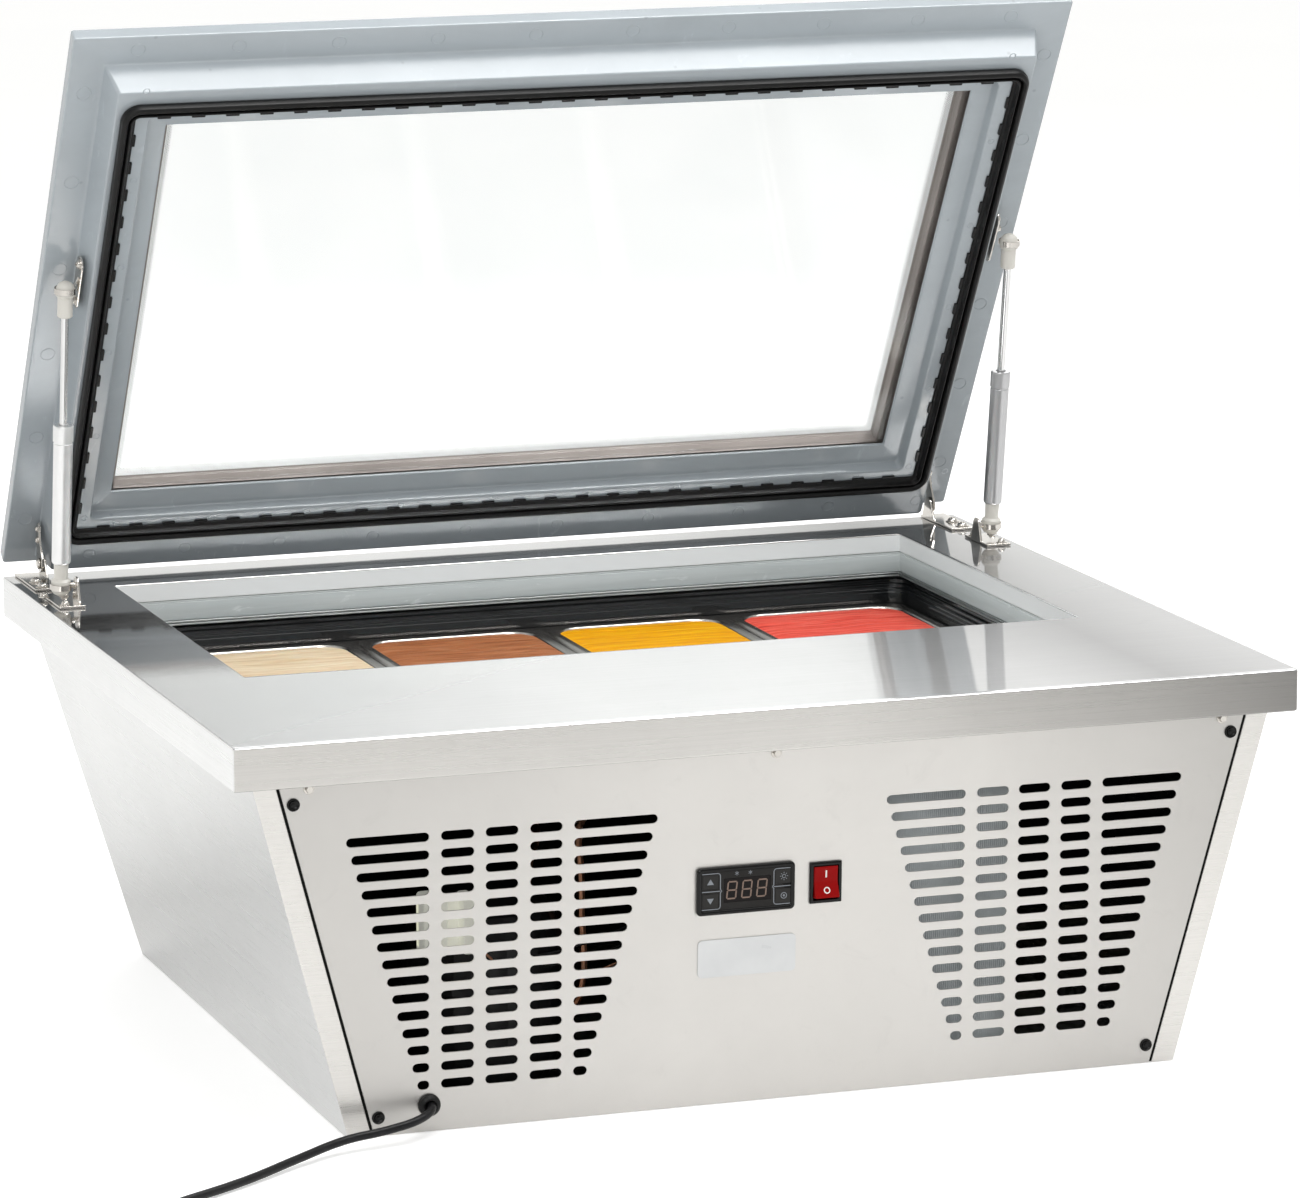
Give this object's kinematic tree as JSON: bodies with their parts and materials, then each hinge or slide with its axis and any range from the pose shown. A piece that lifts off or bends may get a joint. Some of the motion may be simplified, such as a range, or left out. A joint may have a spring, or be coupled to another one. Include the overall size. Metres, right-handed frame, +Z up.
{
  "type": "countertop chest freezer",
  "caption": "Ice-cream chest freezer with a tapered steel cabinet, a serving opening over pans, and a hinged glass lid on gas struts.",
  "frame": {"origin": "on the floor, under the middle of the worktop, on the underside of the base pan", "axes": "+X to the right seen from the front, +Y to the rear (the lid's hinge side), +Z up"},
  "size_m": [0.8958, 0.8184, 0.759],
  "materials": {
    "brushed_steel": "brushed stainless sheet",
    "bright_nickel": "bright nickel plate",
    "satin_aluminium": "satin",
    "pan_steel": "deep-drawn stainless steel",
    "blue_grey_plastic": "satin moulded plastic",
    "pale_grey_plastic": "glossy moulded plastic",
    "black_liner": "glossy black",
    "seal_rubber": "matt rubber",
    "bronze_spacer": "bronze anodised",
    "lid_glass": "clear, with a dotted border",
    "pale_foam": "foamed insulation",
    "galvanised_steel": "galvanised",
    "copper": "bare copper pipe",
    "black_paint": "satin black paint",
    "cable_black": "soft black sheath",
    "control_black": "black moulded plastic",
    "smoked_display": "smoked window",
    "key_grey": "soft keys",
    "rocker_red": "glossy red",
    "cream_plastic": "relay cover",
    "badge_grey": "blank plate",
    "vanilla": "rippled vanilla ice cream",
    "chocolate": "rippled chocolate ice cream",
    "mango": "rippled mango ice cream",
    "strawberry": "rippled strawberry ice cream"
  },
  "bodies": {
    "cabinet": {"left_side_panel": "brushed_steel", "right_side_panel": "brushed_steel", "rear_panel": "brushed_steel", "front_panel": "brushed_steel", "worktop": "brushed_steel", "hinge_base_left": "bright_nickel", "hinge_base_right": "bright_nickel", "strut_foot_left": "bright_nickel", "strut_foot_right": "bright_nickel", "throat_trim": "satin_aluminium", "pan_rack": "pan_steel", "throat_frame": "pale_grey_plastic", "inner_liner": "black_liner", "cable_grommet": "seal_rubber", "insulation_foam": "pale_foam", "worktop_core": "pale_foam", "base_pan": "galvanised_steel", "condenser": "galvanised_steel", "fan_shroud": "galvanised_steel", "evaporator_coil": "copper", "suction_pipe": "copper", "discharge_pipe": "copper", "compressor": "black_paint", "fan_motor": "black_paint", "power_cord": "cable_black", "controller_body": "control_black", "controller_bezel": "control_black", "rocker_housing": "control_black", "display_window": "smoked_display", "terminal_box": "cream_plastic", "badge_plate": "badge_grey"},
    "lid": {"lid_frame": "blue_grey_plastic", "lid_glass_inner": "lid_glass", "lid_glass_outer": "lid_glass", "lid_glass_spacer": "bronze_spacer", "lid_gasket": "seal_rubber", "hinge_leaf_left": "bright_nickel", "hinge_leaf_right": "bright_nickel", "strut_bracket_left": "bright_nickel", "strut_bracket_right": "bright_nickel"},
    "left_strut_tube": {"strut_tube_left": "satin_aluminium"},
    "left_strut_rod": {"strut_rod_left": "bright_nickel"},
    "right_strut_tube": {"strut_tube_right": "satin_aluminium"},
    "right_strut_rod": {"strut_rod_right": "bright_nickel"},
    "rocker": {"rocker": "rocker_red"},
    "key_up": {"key_up": "key_grey"},
    "key_down": {"key_down": "key_grey"},
    "key_light": {"key_light": "key_grey"},
    "key_set": {"key_set": "key_grey"},
    "fan": {"fan_blade": "satin_aluminium"},
    "pan_1": {"pan_1": "pan_steel", "ice_cream_1": "vanilla"},
    "pan_2": {"pan_2": "pan_steel", "ice_cream_2": "chocolate"},
    "pan_3": {"pan_3": "pan_steel", "ice_cream_3": "mango"},
    "pan_4": {"pan_4": "pan_steel", "ice_cream_4": "strawberry"}
  },
  "joints": [
    {"name": "lid_hinge", "type": "hinge", "parent": "cabinet", "child": "lid", "pos_m": [0, 0.327, 0.31], "axis": [-1, 0, 0], "range_deg": [-59, 0]},
    {"name": "left_strut_swing", "type": "hinge", "parent": "cabinet", "child": "left_strut_tube", "pos_m": [-0.393, 0.219, 0.312], "axis": [-1, 0, 0], "range_deg": [-82.5, 0.5]},
    {"name": "left_rod_slide", "type": "slide", "parent": "left_strut_tube", "child": "left_strut_rod", "axis": [0, -0.1412, 0.99], "range_m": [-0.0705, 0.0005]},
    {"name": "right_strut_swing", "type": "hinge", "parent": "cabinet", "child": "right_strut_tube", "pos_m": [0.393, 0.219, 0.312], "axis": [-1, 0, 0], "range_deg": [-82.5, 0.5]},
    {"name": "right_rod_slide", "type": "slide", "parent": "right_strut_tube", "child": "right_strut_rod", "axis": [0, -0.1412, 0.99], "range_m": [-0.0705, 0.0005]},
    {"name": "rocker_tip", "type": "hinge", "parent": "cabinet", "child": "rocker", "pos_m": [0.0413, -0.32585, 0.1614], "axis": [1, 0, 0], "range_deg": [0, 20]},
    {"name": "key_up_press", "type": "slide", "parent": "cabinet", "child": "key_up", "axis": [0, 0.9995, 0.0301], "range_m": [0, 0.0006]},
    {"name": "key_down_press", "type": "slide", "parent": "cabinet", "child": "key_down", "axis": [0, 0.9995, 0.0301], "range_m": [0, 0.0006]},
    {"name": "key_light_press", "type": "slide", "parent": "cabinet", "child": "key_light", "axis": [0, 0.9995, 0.0301], "range_m": [0, 0.0006]},
    {"name": "key_set_press", "type": "slide", "parent": "cabinet", "child": "key_set", "axis": [0, 0.9995, 0.0301], "range_m": [0, 0.0006]},
    {"name": "fan_spin", "type": "hinge", "parent": "cabinet", "child": "fan", "pos_m": [0.127, -0.2655, 0.127], "axis": [0, 1, 0], "continuous": true},
    {"name": "pan_1_lift", "type": "slide", "parent": "cabinet", "child": "pan_1", "axis": [0, 0, 1], "range_m": [0, 0.15]},
    {"name": "pan_2_lift", "type": "slide", "parent": "cabinet", "child": "pan_2", "axis": [0, 0, 1], "range_m": [0, 0.15]},
    {"name": "pan_3_lift", "type": "slide", "parent": "cabinet", "child": "pan_3", "axis": [0, 0, 1], "range_m": [0, 0.15]},
    {"name": "pan_4_lift", "type": "slide", "parent": "cabinet", "child": "pan_4", "axis": [0, 0, 1], "range_m": [0, 0.15]}
  ],
  "couplings": [
    {"joint": "left_strut_swing", "follows": "lid_hinge", "ratio": 1.3878},
    {"joint": "left_rod_slide", "follows": "lid_hinge", "m_per_rad": 0.067581},
    {"joint": "right_strut_swing", "follows": "lid_hinge", "ratio": 1.3878},
    {"joint": "right_rod_slide", "follows": "lid_hinge", "m_per_rad": 0.067581}
  ]
}
